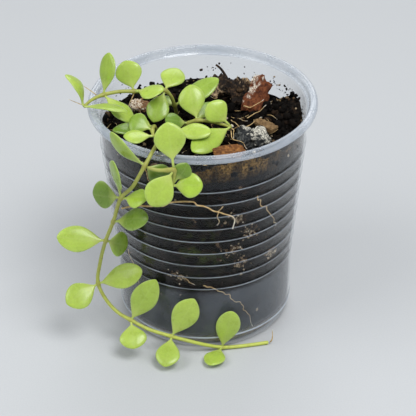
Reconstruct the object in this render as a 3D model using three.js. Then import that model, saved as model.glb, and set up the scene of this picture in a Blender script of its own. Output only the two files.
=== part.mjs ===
// A potted string of nickels: a clear ribbed plastic cup, a plug of potting mix with loose bark on top,
// and one young plant whose longest stem hangs over the rim and runs along the surface below.
// Millimetres, +Z up. The origin is the centre of the cup's underside, on the surface it stands on.
import * as THREE from 'three';

// ---------- driving dimensions ----------
const RIM_RADIUS = 47.5;          // outside of the rolled rim
const CUP_HEIGHT = 101.8;         // underside to the top of the rim
const RIM_HEIGHT = 3.2;           // height of the rolled rim
const RIM_INNER_RADIUS = 44.2;
const RIM_BEVEL = 0.7;            // how much the rim's corners are cut back
const WALL = 0.6;                 // plastic thickness
const BAND_RADIUS = 43.1;         // outside of the smooth band, just under the rim
const TOP_RIB = { z: 82.8, radius: 42.5 };
const LOW_RIB = { z: 31.9, radius: 37.3 };
const RIB_COUNT = 9;
const RIB_PROUD = 0.4;            // how far a rib stands out of the wall
const FOOT_RING = { z: 6, radius: 36.7 };
const BASE_RADIUS = 34.8;         // where the cup meets the surface
const BASE_EDGE = { radius: 36.3, z: 2.2 };   // where the foot curves up from the surface
const RECESS = { inner: 6, outer: 31, depth: 1.1, slope: 1 };   // ring-shaped hollow under the floor
const FLOOR_TOP = 2;              // inside of the cup's floor
const FLOOR_FILLET = 1.2;         // how far the inside of the floor stops short of the wall
const ROUND_SEGMENTS = 36;

const GAP = 0.3;                  // clearance between pieces that touch
const NODE_GAP = 0.4;             // clearance between a leaf stalk and its stem
const SOIL_LEVEL = 87.6;          // general level of the potting mix
const STEM_RADIUS = 0.8;
const STEM_SIDES = 8;
const ROOT_RADIUS = 0.4;
const ROOT_SIDES = 6;
const SLIVER_RADIUS = 0.7;        // curled sliver of bark
const LEAF_THICKNESS = 1.3;
const STALK_RADIUS = 0.55;        // leaf stalk
const LEAF_SIDES = 10;

// ---------- finishes ----------
const clearPlastic = new THREE.MeshStandardMaterial({
  color: 0xc9d2da, roughness: 0.15, metalness: 0, transparent: true, opacity: 0.35,
});
const finish = (color, roughness) => new THREE.MeshStandardMaterial({ color, roughness, metalness: 0 });
const soilFinish = finish(0x1a1512, 0.95);
const stemFinish = finish(0xa9a94a, 0.5);
const rootFinish = finish(0xc8a878, 0.8);
const leafFinish = finish(0xa3c14e, 0.4);
const redBark = finish(0x5a2e1e, 0.9);
const blackBark = finish(0x241a15, 0.9);
const tanWood = finish(0xc09a6a, 0.85);
const greyStone = finish(0x8d8a84, 0.9);

const plant = new THREE.Group();

function addPiece(name, geometry, material) {
  const piece = new THREE.Mesh(geometry, material);
  piece.name = name;
  plant.add(piece);
  return piece;
}

// LatheGeometry turns about +Y, so a lathed piece is stood up to turn about +Z.
function latheUpright(profile, segments = ROUND_SEGMENTS) {
  const points = profile.map(([radius, height]) => new THREE.Vector2(radius, height));
  return new THREE.LatheGeometry(points, segments).rotateX(Math.PI / 2);
}

// ---------- cup ----------
const RIB_PITCH = (TOP_RIB.z - LOW_RIB.z) / (RIB_COUNT - 1);
const RIB_TAPER = (TOP_RIB.radius - LOW_RIB.radius) / (TOP_RIB.z - LOW_RIB.z);

// Outside radius of the wall without its ribs, at a height between the foot ring and the rim.
function wallRadius(z) {
  if (z < LOW_RIB.z) {
    const up = (z - FOOT_RING.z) / (LOW_RIB.z - FOOT_RING.z);
    return THREE.MathUtils.lerp(FOOT_RING.radius, LOW_RIB.radius, up);
  }
  if (z < TOP_RIB.z) return LOW_RIB.radius + (z - LOW_RIB.z) * RIB_TAPER;
  const up = (z - TOP_RIB.z) / (CUP_HEIGHT - RIM_HEIGHT - TOP_RIB.z);
  return THREE.MathUtils.lerp(TOP_RIB.radius, BAND_RADIUS, up);
}

function cupProfile() {
  const underRim = CUP_HEIGHT - RIM_HEIGHT;
  const outside = [
    [0, 0],
    [RECESS.inner, 0],
    [RECESS.inner + RECESS.slope, RECESS.depth],
    [RECESS.outer, RECESS.depth],
    [RECESS.outer + RECESS.slope, 0],
    [BASE_RADIUS, 0],
    [BASE_EDGE.radius, BASE_EDGE.z],
    [FOOT_RING.radius, FOOT_RING.z],
  ];
  for (let rib = 0; rib < RIB_COUNT; rib += 1) {
    const z = LOW_RIB.z + rib * RIB_PITCH;
    outside.push([wallRadius(z - RIB_PITCH / 4), z - RIB_PITCH / 4]);
    outside.push([wallRadius(z) + RIB_PROUD, z]);
  }
  const rim = [
    [BAND_RADIUS, underRim],
    [RIM_RADIUS - RIM_BEVEL, underRim],
    [RIM_RADIUS, underRim + RIM_BEVEL],
    [RIM_RADIUS, CUP_HEIGHT - RIM_BEVEL],
    [RIM_RADIUS - RIM_BEVEL, CUP_HEIGHT],
    [RIM_INNER_RADIUS + RIM_BEVEL, CUP_HEIGHT],
    [RIM_INNER_RADIUS, CUP_HEIGHT - RIM_BEVEL],
  ];
  const inside = [underRim - RIM_BEVEL, TOP_RIB.z, LOW_RIB.z, FOOT_RING.z].map((z) => [wallRadius(z) - WALL, z]);
  const floor = [
    [FOOT_RING.radius - WALL - FLOOR_FILLET, FLOOR_TOP],
    [0, FLOOR_TOP],
  ];
  return [...outside, ...rim, ...inside, ...floor];
}

addPiece('cup', latheUpright(cupProfile()), clearPlastic);

// ---------- potting mix ----------
// Low mounds and hollows in the surface of the mix: centre x, y, height (below zero for a hollow), spread.
const MOUNDS = [
  [40, 10, 8, 9],
  [30, 4, 3.5, 10],
  [29, 29, -6, 10],
  [15, -31, 4, 10],
  [-38, -4, 2, 9],
  [10, 6, 1.5, 9],
];

function soilHeight(x, y) {
  return MOUNDS.reduce(
    (height, [cx, cy, rise, spread]) => height + rise * Math.exp(-((x - cx) ** 2 + (y - cy) ** 2) / spread ** 2),
    SOIL_LEVEL,
  );
}

function pottingMix() {
  const side = [FOOT_RING.z, LOW_RIB.z, TOP_RIB.z].map((z) => [wallRadius(z) - WALL - GAP, z]);
  const edge = wallRadius(SOIL_LEVEL) - WALL - GAP;
  const surface = [1, 0.85, 0.68, 0.5, 0.32, 0.15, 0].map((share) => [edge * share, SOIL_LEVEL]);
  const floor = FLOOR_TOP + GAP;
  const floorEdge = FOOT_RING.radius - WALL - GAP - FLOOR_FILLET;
  const geometry = latheUpright([[0, floor], [floorEdge, floor], ...side, ...surface]);
  const position = geometry.attributes.position;
  for (let i = 0; i < position.count; i += 1) {
    if (Math.abs(position.getZ(i) - SOIL_LEVEL) < 0.01) {
      position.setZ(i, soilHeight(position.getX(i), position.getY(i)));
    }
  }
  return geometry;
}

addPiece('potting_mix', pottingMix(), soilFinish);

// ---------- loose bark, wood and stone on the mix ----------
// A broken lump: a low-poly ball squashed to its size, with a repeatable unevenness.
const LUMP_SIDES = 9;
const LUMP_ROWS = 6;
const LUMP_BOXINESS = 0.6;        // 0 leaves a ball, 1 makes a box
const LUMP_UNEVENNESS = 0.12;
const LUMP_FILL = 2 ** LUMP_BOXINESS;   // brings the boxy ball back to its size

function lump([sizeX, sizeY, sizeZ], seed) {
  const geometry = new THREE.SphereGeometry(0.5, LUMP_SIDES, LUMP_ROWS);
  const position = geometry.attributes.position;
  const corner = new THREE.Vector3();
  for (let i = 0; i < position.count; i += 1) {
    corner.fromBufferAttribute(position, i);
    const furthest = Math.max(Math.abs(corner.x), Math.abs(corner.y), Math.abs(corner.z));
    const boxy = 1 / furthest ** LUMP_BOXINESS / LUMP_FILL;
    const wave = 1 + LUMP_UNEVENNESS * Math.sin(seed + 9 * corner.x + 7 * corner.y) * Math.cos(seed * 2 + 8 * corner.z);
    corner.multiplyScalar(boxy * wave);
    position.setXYZ(i, corner.x * sizeX, corner.y * sizeY, corner.z * sizeZ);
  }
  return geometry;
}

// Each lump: name, size, place of its centre, and in degrees its spin on its own flat, its tilt
// about X and its turn about Z; then its finish.
const LUMPS = [
  ['red_bark_chip', [8.4, 15.4, 2.6], [22.3, 11.6, 95.7], [-24, 52, 0], redBark],
  ['black_bark_chip', [9.5, 10.6, 3], [16, 20.2, 92.9], [0, 48, 15], blackBark],
  ['pale_streaked_chip', [9, 8.5, 2.4], [6.8, 28, 91.6], [20, 38, 10], blackBark],
  ['tan_wood_chip', [9.6, 3.6, 2], [25.6, -8.8, 93.6], [0, 8, -46], tanWood],
  ['pale_left_chip', [8.5, 6, 2.6], [-26, 15.5, 89.4], [0, 10, -20], tanWood],
  ['orange_bark_chip', [12.5, 7, 2.4], [10.6, -27.4, 92.3], [0, 12, 14], redBark],
  ['speckled_stone', [12.5, 9.5, 6], [20, -16.8, 92.6], [0, 8, 15], greyStone],
];
LUMPS.forEach(([name, size, place, [spin, tilt, turn], material], index) => {
  const chip = addPiece(name, lump(size, index + 1), material);
  chip.rotation.set(THREE.MathUtils.degToRad(tilt), 0, THREE.MathUtils.degToRad(turn), 'ZYX');
  chip.rotateZ(THREE.MathUtils.degToRad(spin));
  chip.position.set(...place);
});

// ---------- stems and roots ----------
function tube(route, radius, sides, steps) {
  const section = new THREE.Shape();
  section.absarc(0, 0, radius, 0, Math.PI * 2);
  const path = new THREE.CatmullRomCurve3(route.map((point) => new THREE.Vector3(...point)));
  return new THREE.ExtrudeGeometry(section, {
    steps, extrudePath: path, curveSegments: sides / 2, bevelEnabled: false,
  });
}

// ---------- leaves ----------
// Outline of a blade with its stalk: share of the length, share of the half width.
const BLADE = [[0.1, 0.3], [0.22, 0.6], [0.38, 0.87], [0.57, 1], [0.74, 0.91], [0.88, 0.65], [0.96, 0.36]];
const CUPPING = 0.06;             // how far the blade's edges lift, as a share of its width

function leafGeometry(length, width, bow) {
  const half = width / 2;
  const outline = BLADE.map(([along, out]) => [Math.max(out * half, STALK_RADIUS), along * length]);
  const profile = [[0, 0], [STALK_RADIUS, 0], ...outline, [0, length]];
  const points = profile.map(([out, along]) => new THREE.Vector2(out, along));
  const geometry = new THREE.LatheGeometry(points, LEAF_SIDES);
  const position = geometry.attributes.position;
  for (let i = 0; i < position.count; i += 1) {
    const [x, y, z] = [position.getX(i), position.getY(i), position.getZ(i)];
    const out = Math.max(Math.hypot(x, z), STALK_RADIUS);
    const thin = THREE.MathUtils.lerp(STALK_RADIUS, LEAF_THICKNESS / 2, Math.min(1, out / half)) / out;
    const lift = CUPPING * width * (x / half) ** 2 + bow * Math.sin((Math.PI * y) / length);
    position.setXYZ(i, x, y, z * thin + lift);
  }
  return geometry;
}

// How far along its own axis a stalk has to start to stand clear of the stem it leans on.
function stalkStart(axis, route, at) {
  const below = new THREE.Vector3(...route[at - 1]);
  const above = new THREE.Vector3(...route[Math.min(at + 1, route.length - 1)]);
  const lean = axis.angleTo(above.sub(below));
  return (STEM_RADIUS + NODE_GAP + STALK_RADIUS * Math.abs(Math.cos(lean))) / Math.sin(lean);
}

// A leaf on a stem: `to` runs from the stem's centre line to the leaf's tip, and the blade's
// upper face looks towards `faces`; `bow` is how far the middle of the blade arches that way.
function addLeaf(name, route, at, to, faces, width, bow) {
  const axis = new THREE.Vector3(...to);
  const reach = axis.length();
  axis.normalize();
  const up = new THREE.Vector3(...faces);
  up.addScaledVector(axis, -up.dot(axis)).normalize();
  const across = new THREE.Vector3().crossVectors(axis, up);
  const start = stalkStart(axis, route, at);
  const leaf = addPiece(name, leafGeometry(reach - start, width, bow), leafFinish);
  leaf.quaternion.setFromRotationMatrix(new THREE.Matrix4().makeBasis(across, axis, up));
  leaf.position.set(...route[at]).addScaledVector(axis, start);
}

// Each stem: its route from the mix to its tip, and its leaves. A leaf has the number of the route
// point it grows from, the way to its tip, the way its face looks, its width, and its bow if any.
const STEMS = {
  trailing_stem: {
    steps: 60,
    route: [
      [-12, -9, 89.7], [-12.5, -17, 96], [-15.5, -31, 103], [-18.5, -42, 105], [-23, -49, 100],
      [-28, -48, 90], [-33, -44, 82], [-36.8, -39, 67.5], [-40.6, -33.5, 54.5], [-43.6, -29.5, 41],
      [-45, -28, 29], [-41.3, -30.5, 21.3], [-36.5, -33, 17], [-31.5, -35.5, 15.2], [-25, -37.5, 12.2],
      [-14.5, -39.5, 9.3], [-6.5, -39.5, 6.5], [0, -38.6, 3.8], [6.6, -37.3, 1.5], [15, -36, 1],
      [26.2, -33.8, 1],
    ],
    leaves: [
      [1, [16, -2.5, 1], [0, -0.25, 0.97], 8.5],
      [4, [-12.8, 4, 13.4], [-0.8, -0.45, 0.1], 9.8, 1.6],
      [4, [9, 3.5, -8], [0, -0.9, 0.2], 9],
      [6, [-2, -4.5, 20], [-0.9, -0.45, 0.1], 10.5],
      [6, [-11.5, 5.5, -1], [-0.1, -0.97, 0.1], 12.5],
      [6, [10.9, -6.2, 3.6], [0, -0.45, 0.85], 9.2],
      [7, [14.5, -9.5, 7.5], [0, -0.6, 0.8], 9.5],
      [8, [-20, 0, 2.2], [0, -0.75, 0.65], 11],
      [8, [8.5, 5.5, -6.5], [0.6, -0.75, 0.3], 10.5],
      [10, [18.8, -3, 8.5], [-0.1, -0.7, 0.7], 10.5],
      [10, [-13.2, -6.8, -5.5], [0.1, -0.6, 0.8], 11.5],
      [13, [11, 1, 20], [0, -0.85, 0.5], 11],
      [13, [1.2, -10.5, -7.2], [0, -0.75, 0.65], 11.5],
      [15, [9.8, 0.5, 19], [0.05, -0.9, 0.45], 11.2],
      [15, [-3, -13, -6], [0, -0.4, 0.9], 10.2],
      [18, [4.3, -1.5, 20], [0.1, -0.95, 0.3], 10.2],
      [18, [-5.5, -13.5, 1], [0, -0.1, 1], 9],
    ],
  },
  side_shoot: {
    steps: 10,
    route: [
      [-21.6, -49.8, 99.7], [-18, -50.3, 98.8], [-14, -50.7, 99], [-11.6, -51, 99.3], [-12.6, -50.2, 91.5],
    ],
    leaves: [
      [3, [-2.2, 7, 17.5], [0, -0.84, 0.55], 12.5],
      [3, [-9.5, -4.5, -13.5], [0.1, -0.8, 0.6], 11.5],
      [4, [12.2, -0.8, 0.4], [0.1, -0.75, 0.65], 10],
      [4, [6.2, 2.2, 9], [0.2, -0.9, 0.3], 8],
    ],
  },
  upper_left_shoot: {
    steps: 28,
    route: [
      [-11, 9, 89], [-11.7, 6, 95], [-13.2, 4.5, 100.5], [-15.5, 4, 103.4], [-22, 3.5, 103.4],
      [-28.3, 2, 104.4], [-34, 0.5, 105.2], [-40.5, -1.5, 105], [-45, -5, 104.8], [-48.2, -9, 104],
    ],
    leaves: [
      [9, [-7.3, 4, 12.5], [0.8, -0.1, 0.5], 9, 2.4],
      [9, [17.8, -7, 1], [0.1, 0.2, 1], 9.5, 0.8],
      [7, [2.8, 6.5, 16], [-0.7, -0.6, 0.3], 9.5],
      [7, [12, -8.5, -8.4], [0.35, -0.25, 0.9], 9.5],
      [5, [-3.4, 7, 10.5], [0, -0.8, 0.6], 11],
      [5, [12.3, -5.6, 3.2], [0.05, -0.15, 1], 10.5],
      [3, [5.3, 12, 3.5], [0.1, -0.3, 0.95], 10.5],
      [3, [-4.9, -9.5, -9.5], [-0.2, -0.9, 0.4], 9.5],
      [1, [18.5, 7, 8.5], [0, -0.2, 1], 10.5],
      [1, [-9, 9, -2], [-0.1, -0.2, 1], 8.5],
    ],
  },
  right_shoot: {
    steps: 12,
    route: [[-8, -4, 89.6], [-6, -7, 94], [-2.4, -8.5, 96.2], [4, -9, 95.8], [11.4, -11.2, 94.6]],
    leaves: [
      [2, [-2.6, 9.5, 11.5], [0, -0.84, 0.55], 11],
      [2, [6.5, 13.5, 0.5], [0, -0.3, 0.95], 8.5],
      [1, [-9.5, -2, 3], [0, -0.4, 0.9], 9],
      [4, [-9.2, 3.4, 9.2], [0, -0.8, 0.6], 10.5],
      [4, [-16, -14, -3], [0.05, -0.6, 0.8], 10.5],
    ],
  },
  crown_shoot: {
    steps: 12,
    route: [[-19, -5, 89.5], [-20, -11, 95], [-20.5, -18, 97.5], [-20, -24, 98.5]],
    leaves: [
      [3, [-12, -1, 0.5], [0, -0.1, 1], 9.5],
      [2, [-9, 4, 3.5], [0.1, -0.7, 0.7], 9],
      [1, [-16.5, -8.5, 3.5], [0, -0.3, 0.9], 7],
      [1, [-11, 6, -2], [0, -0.2, 1], 9],
    ],
  },
};

for (const [stemName, stem] of Object.entries(STEMS)) {
  addPiece(stemName, tube(stem.route, STEM_RADIUS, STEM_SIDES, stem.steps), stemFinish);
  stem.leaves.forEach(([at, to, faces, width, bow = 0], index) => {
    addLeaf(`${stemName}_leaf_${index + 1}`, stem.route, at, to, faces, width, bow);
  });
}

// The aerial root that wanders across the front of the cup, and the one at the cut end of the stem.
const ROOTS = {
  long_aerial_root: [
    [-33, -42.3, 76], [-27, -42, 77], [-22, -43.5, 77.6], [-15.5, -45.5, 79.3], [-8, -46, 81.8],
    [-4.5, -46, 81.3], [-1.8, -45, 78.5], [4.3, -44, 75], [12, -42.5, 70.5], [11.3, -42.5, 65.5],
  ],
  stem_end_root: [[27.6, -33.6, 1], [28, -33.8, 4], [28.2, -33.6, 7.5]],
};
for (const [name, route] of Object.entries(ROOTS)) {
  addPiece(name, tube(route, ROOT_RADIUS, ROOT_SIDES, route.length * 2), rootFinish);
}

// The curled black sliver of bark that stands up at the back.
const SLIVER_ROUTE = [[11.6, 31, 90.6], [10, 32, 94], [8, 33, 97], [6, 33, 99]];
addPiece('curled_sliver', tube(SLIVER_ROUTE, SLIVER_RADIUS, ROOT_SIDES, SLIVER_ROUTE.length * 2), blackBark);

export default plant;
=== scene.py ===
# %% [markdown]
# # A potted string of nickels
# This lesson dresses a CAD model of a small trailing plant: round fleshy leaves in pairs on thin stems,
# growing in a clear ribbed plastic cup of dark potting mix. The CAD frame says where each piece is and
# how big it is. Every piece is then made again here as a fine mesh in the same place, because plain CAD
# solids have no veins, crumbs or rounded edges. The first step is always to load the frame.

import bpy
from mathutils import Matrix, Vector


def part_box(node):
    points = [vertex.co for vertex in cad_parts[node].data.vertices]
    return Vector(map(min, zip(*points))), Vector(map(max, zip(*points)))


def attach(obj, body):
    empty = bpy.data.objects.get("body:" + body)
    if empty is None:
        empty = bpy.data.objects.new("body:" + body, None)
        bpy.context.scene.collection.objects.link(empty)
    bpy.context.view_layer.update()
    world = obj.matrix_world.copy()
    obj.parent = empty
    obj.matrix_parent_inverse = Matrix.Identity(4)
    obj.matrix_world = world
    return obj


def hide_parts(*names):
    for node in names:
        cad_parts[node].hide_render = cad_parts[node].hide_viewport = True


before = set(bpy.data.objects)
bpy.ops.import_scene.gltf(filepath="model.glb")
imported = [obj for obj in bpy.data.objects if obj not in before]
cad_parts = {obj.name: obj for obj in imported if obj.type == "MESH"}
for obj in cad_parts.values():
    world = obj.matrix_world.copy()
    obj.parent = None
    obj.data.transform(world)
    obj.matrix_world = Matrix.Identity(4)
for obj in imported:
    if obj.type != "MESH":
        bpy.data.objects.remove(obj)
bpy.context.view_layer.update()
print("CAD nodes:", len(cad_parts))

# %% Tools and units
import math

import bpy
import numpy as np
from mathutils import Vector, noise
from mathutils.bvhtree import BVHTree

MM = 0.001

# %% [markdown]
# ## The camera
# A lens that looks down by a third of a right angle shows both the surface of the mix and the front of the
# cup. It is a long one, so that the cup hardly tapers by perspective. A camera looks along its own -Z axis,
# so it is turned until that axis meets the point it aims at, and then rolled by under a degree.

# %% Camera
LOOK_DOWN = math.radians(33.25)
CAMERA_DISTANCE = 0.8
TARGET = Vector((0, 0, 0.05))
AIM = Vector((0.0016, -0.0011, 0.0484))
ROLL = math.radians(-0.78)

lens = bpy.data.cameras.new("camera")
lens.sensor_width = 36
lens.lens = 162.4
camera = bpy.data.objects.new("camera", lens)
bpy.context.scene.collection.objects.link(camera)
camera.location = TARGET + CAMERA_DISTANCE * Vector((0, -math.cos(LOOK_DOWN), math.sin(LOOK_DOWN)))
camera.rotation_euler = (AIM - camera.location).to_track_quat("-Z", "Y").to_euler()
camera.rotation_euler.rotate_axis("Z", ROLL)
bpy.context.scene.camera = camera
print("camera at", [round(c, 3) for c in camera.location])

# %% [markdown]
# ## Colours and nodes
# Colours are picked on a screen, which shows sRGB, but Blender's sockets take linear light. One
# function turns a hex colour into linear numbers. A second one adds a shader node and wires it up, so that
# each material below reads as a short list of what it is made of.

# %% Colour and node helpers
def linear(hex_colour):
    """The linear colour of an sRGB hex colour, with full alpha."""
    shares = [int(hex_colour[i:i + 2], 16) / 255 for i in (1, 3, 5)]
    return (*[s / 12.92 if s <= 0.04045 else ((s + 0.055) / 1.055) ** 2.4 for s in shares], 1.0)


def add(tree, kind, values=None, links=None, stops=None, **settings):
    """Adds a node: values go into its sockets, links are (node, output) pairs, stops fill a colour ramp."""
    node = tree.nodes.new("ShaderNode" + kind)
    for name, setting in settings.items():
        setattr(node, name, setting)
    for socket, value in (values or {}).items():
        node.inputs[socket].default_value = value
    for socket, (source, output) in (links or {}).items():
        tree.links.new(source.outputs[output], node.inputs[socket])
    for index, (place, colour) in enumerate(stops or []):
        ramp = node.color_ramp.elements
        stop = ramp[index] if index < 2 else ramp.new(place)
        stop.position = place
        stop.color = linear(colour)
    return node


print("mid grey in linear light:", round(linear("#808080")[0], 3))


# %% Material helpers
def new_material(name):
    """An empty material with its node tree, and the node that gives points in metres."""
    material = bpy.data.materials.new(name)
    material.use_nodes = True
    tree = material.node_tree
    tree.nodes.clear()
    return material, tree, add(tree, "TexCoord")


def finish_material(material, tree, shader):
    """Wires the last shader to the material's output."""
    add(tree, "OutputMaterial", links={"Surface": (shader, 0)})
    print("material:", material.name, "nodes:", len(tree.nodes))
    return material


def per_metre(size_mm):
    """The texture scale whose pattern repeats about every size_mm millimetres."""
    return 1 / (size_mm * MM)


print("scale of a 1 mm grain:", round(per_metre(1)))

# %% [markdown]
# ## Floor, light and background
# A plain floor of pale matt paper stands in for the table. Paper scatters light evenly, so it takes soft
# shadows and shows no highlight. Light is a soft studio set: one large softbox up on the right of the
# camera as the key, a weaker one on the left as the fill, a third one behind, and an even sky. A large
# light close to a small object gives soft shadows and broad highlights. The standard view keeps the
# yellow-green of the leaves as bright as the material says.

# %% Floor
floor_finish, tree, coords = new_material("pale_matt_paper")
paper = add(tree, "TexNoise", {"Scale": per_metre(0.6), "Detail": 3}, {"Vector": (coords, "Object")})
tint = add(tree, "ValToRGB", None, {"Fac": (paper, 0)}, [(0.3, "#C8CBCE"), (0.7, "#CDD0D2")])
matt = add(tree, "BsdfPrincipled", {"Roughness": 0.9, "Specular IOR Level": 0.2}, {"Base Color": (tint, 0)})
finish_material(floor_finish, tree, matt)

FLOOR_HALF = 3.0
floor_mesh = bpy.data.meshes.new("floor")
corners = [(x * FLOOR_HALF, y * FLOOR_HALF, 0) for x, y in ((-1, -1), (1, -1), (1, 1), (-1, 1))]
floor_mesh.from_pydata(corners, [], [(0, 1, 2, 3)])
floor_mesh.materials.append(floor_finish)
floor = bpy.data.objects.new("floor", floor_mesh)
bpy.context.scene.collection.objects.link(floor)

# %% Lights
SOFTBOXES = {  # place in metres, side in metres, watts
    "key_softbox": ((0.32, -0.5, 1.05), 0.5, 8.0),
    "fill_softbox": ((-0.7, -0.3, 0.85), 0.6, 3.6),
    "back_softbox": ((0.1, 0.8, 0.9), 0.6, 3.0),
}
for name, (place, side, watts) in SOFTBOXES.items():
    lamp = bpy.data.lights.new(name, "AREA")
    lamp.size = side
    lamp.energy = watts
    softbox = bpy.data.objects.new(name, lamp)
    softbox.location = place
    softbox.rotation_euler = (TARGET - softbox.location).to_track_quat("-Z", "Y").to_euler()
    bpy.context.scene.collection.objects.link(softbox)

sky = bpy.data.worlds.new("soft_sky")
sky.use_nodes = True
sky.node_tree.nodes["Background"].inputs["Color"].default_value = linear("#ECEFF3")
sky.node_tree.nodes["Background"].inputs["Strength"].default_value = 0.42
bpy.context.scene.world = sky
bpy.context.scene.view_settings.view_transform = "Standard"
print("lights:", list(SOFTBOXES))

# %% [markdown]
# ## Making meshes
# Nearly every piece here is a stack of rings of points: the cup, the mix, a stem, even a leaf. One
# function skins such a stack with four-sided faces and closes its two ends. Another one turns points and
# faces into a Blender object. Marks are numbers kept on each point, such as how far along a leaf it lies,
# so that a material can change along a piece without any image.

# %% Skin helper
def skin(rings, first, last):
    """Points and faces of a closed skin over a stack of rings, with one point at each end."""
    rings = np.asarray(rings, float)
    rows, columns = rings.shape[:2]
    points = np.vstack([rings.reshape(-1, 3), [first], [last]])
    start, end = rows * columns, rows * columns + 1
    faces = []
    for column in range(columns):
        beside = (column + 1) % columns
        faces.append((start, beside, column))
        for row in range(rows - 1):
            low, high = row * columns, (row + 1) * columns
            faces.append((low + column, low + beside, high + beside, high + column))
        top = (rows - 1) * columns
        faces.append((end, top + column, top + beside))
    return points, faces


print("faces over 3 rings of 4 points:", len(skin(np.zeros((3, 4, 3)), (0, 0, 0), (0, 0, 0))[1]))


# %% Piece helper
def new_piece(name, points, faces, material, marks=None, replaces=None):
    """Makes a smooth mesh object, gives it its marks and finish, and hides the CAD parts it stands in for."""
    mesh = bpy.data.meshes.new(name)
    mesh.from_pydata(np.asarray(points).tolist(), [], faces)
    for mark, numbers in (marks or {}).items():
        attribute = mesh.attributes.new(mark, "FLOAT", "POINT")
        attribute.data.foreach_set("value", np.asarray(numbers, np.float32))
    mesh.polygons.foreach_set("use_smooth", [True] * len(faces))
    mesh.materials.append(material)
    piece = bpy.data.objects.new(name, mesh)
    bpy.context.scene.collection.objects.link(piece)
    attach(piece, "root")
    if replaces:
        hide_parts(*replaces)


# %% CAD points and round corners
def cad_points(node):
    """The corners of a CAD node, each once, in metres."""
    points = np.array([corner.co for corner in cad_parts[node].data.vertices])
    return np.unique(points.round(7), axis=0)


def round_corners(outline, radius, steps=4):
    """An open outline whose inner corners are replaced by short curves."""
    outline = np.asarray(outline, float)
    smooth = [outline[0]]
    for before, corner, after in zip(outline, outline[1:], outline[2:]):
        reach = [min(radius, np.linalg.norm(side - corner) * 0.45) for side in (before, after)]
        start = corner + (before - corner) / np.linalg.norm(before - corner) * reach[0]
        end = corner + (after - corner) / np.linalg.norm(after - corner) * reach[1]
        for t in np.linspace(0, 1, steps + 1):
            smooth.append((1 - t) ** 2 * start + 2 * t * (1 - t) * corner + t ** 2 * end)
    smooth.append(outline[-1])
    return np.array(smooth)


print("CAD corners of the cup:", len(cad_points("cup")))

# %% [markdown]
# ## The clear cup
# The cup is thermoformed from a thin clear sheet: nine narrow ribs stiffen its side, a smooth panel and a
# stepped foot lie below them, and the edge is rolled into a thick rim. A round thing like this is a
# profile turned about its axis. The profile here runs up the outside, over the rim, down the inside and
# across the floor, so that the wall has its true thickness and both of its faces catch the light.

# %% Cup dimensions in millimetres
RIM_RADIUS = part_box("cup")[1].x / MM
CUP_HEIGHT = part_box("cup")[1].z / MM
WALL = 0.6
RIM_HEIGHT = 3.2
BAND = {"z": CUP_HEIGHT - RIM_HEIGHT, "radius": 43.1}
TOP_RIB = {"z": 82.8, "radius": 42.5}
LOW_RIB = {"z": 31.9, "radius": 37.3}
FOOT = {"z": 6.0, "radius": 36.7}
BASE_RADIUS = 34.8
FLOOR_TOP = 2.0
RIB_COUNT = 9
RIB_PITCH = (TOP_RIB["z"] - LOW_RIB["z"]) / (RIB_COUNT - 1)
RIB_PROUD = 0.4
RIB_HALF = 0.75
TURN_STEPS = 192


def wall_radius(z):
    """Outside radius of the wall between its ribs."""
    levels = [FOOT, LOW_RIB, TOP_RIB, BAND]
    return np.interp(z, [level["z"] for level in levels], [level["radius"] for level in levels])


def rib_bump(z):
    """How far the nearest rib stands out of the wall at a height."""
    number = np.clip(np.round((z - LOW_RIB["z"]) / RIB_PITCH), 0, RIB_COUNT - 1)
    away = np.minimum(np.abs(z - LOW_RIB["z"] - number * RIB_PITCH) / RIB_HALF, 1)
    return RIB_PROUD * 0.5 * (1 + np.cos(np.pi * away))


print("rib pitch in mm:", round(RIB_PITCH, 2))

# %% Cup profile
rib_levels = [LOW_RIB["z"] + rib * RIB_PITCH + off
              for rib in range(RIB_COUNT) for off in np.linspace(-RIB_HALF, RIB_HALF, 9)]
levels = np.unique(np.concatenate([rib_levels, np.linspace(FOOT["z"] + 0.6, BAND["z"] - 0.4, 34)]))
outside = np.column_stack([wall_radius(levels) + rib_bump(levels), levels])
inside = np.column_stack([wall_radius(levels) - WALL + rib_bump(levels), levels])[::-1]
underside = round_corners([  # centre pad, ring-shaped hollow, foot, and the small step over the foot
    (6, 0), (7, 1.1), (31, 1.1), (32, 0), (BASE_RADIUS, 0),
    (36.2, 2.2), (36.3, 5.4), (36.95, 5.8), (36.95, 6.25), (36.7, 6.6),
], 0.5)
rim = round_corners([
    (43.1, 98.3), (43.4, 98.7), (46.9, 98.6), (RIM_RADIUS, 99.4), (RIM_RADIUS, 100.6), (46.7, CUP_HEIGHT),
    (45.7, 101.55), (44.7, CUP_HEIGHT), (44.1, 100.9), (43.9, 99.5), (42.5, 98.3),
], 0.9, 7)
inner_foot = round_corners([(36.1, 6.5), (35.9, FLOOR_TOP), (20, FLOOR_TOP)], 1.6)
profile = np.vstack([underside, outside, rim, inside, inner_foot])

turn = np.linspace(0, 2 * np.pi, TURN_STEPS, endpoint=False)
cup_rings = [np.column_stack([r * np.cos(turn), r * np.sin(turn), np.full(TURN_STEPS, z)]) * MM
             for r, z in profile]
cup_points, cup_faces = skin(cup_rings, (0, 0, 0), (0, 0, FLOOR_TOP * MM))
print("cup profile points:", len(profile))

# %% [markdown]
# ## Clear plastic
# The sheet is clear polypropylene: glossy, colourless and very slightly milky. It hardly bends light,
# because it is thin, so it is a mix of see-through and gloss instead of solid glass, which also lets the
# lamps light the mix behind it. Gloss grows towards the edges, as it does on any smooth plastic. Where the
# sheet is thick or stretched, in the rim and at the foot, it looks milky, and a mark on the points says how
# much. The same mark makes the crests of the ribs milky as a painted highlight: thin pale lines that stand
# in for the glint of the lamps on the ribs.

# %% Haze along the profile
HAZE = {  # 0 is clear and 1 is milky; the milky rib crests are a painted highlight
    "rim": 0.4, "band": 0.03, "rib": 0.8, "between": 0.003, "panel": 0.15, "foot": 0.1, "foot_line": 0.9,
    "inside": 0.004,
}


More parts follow.
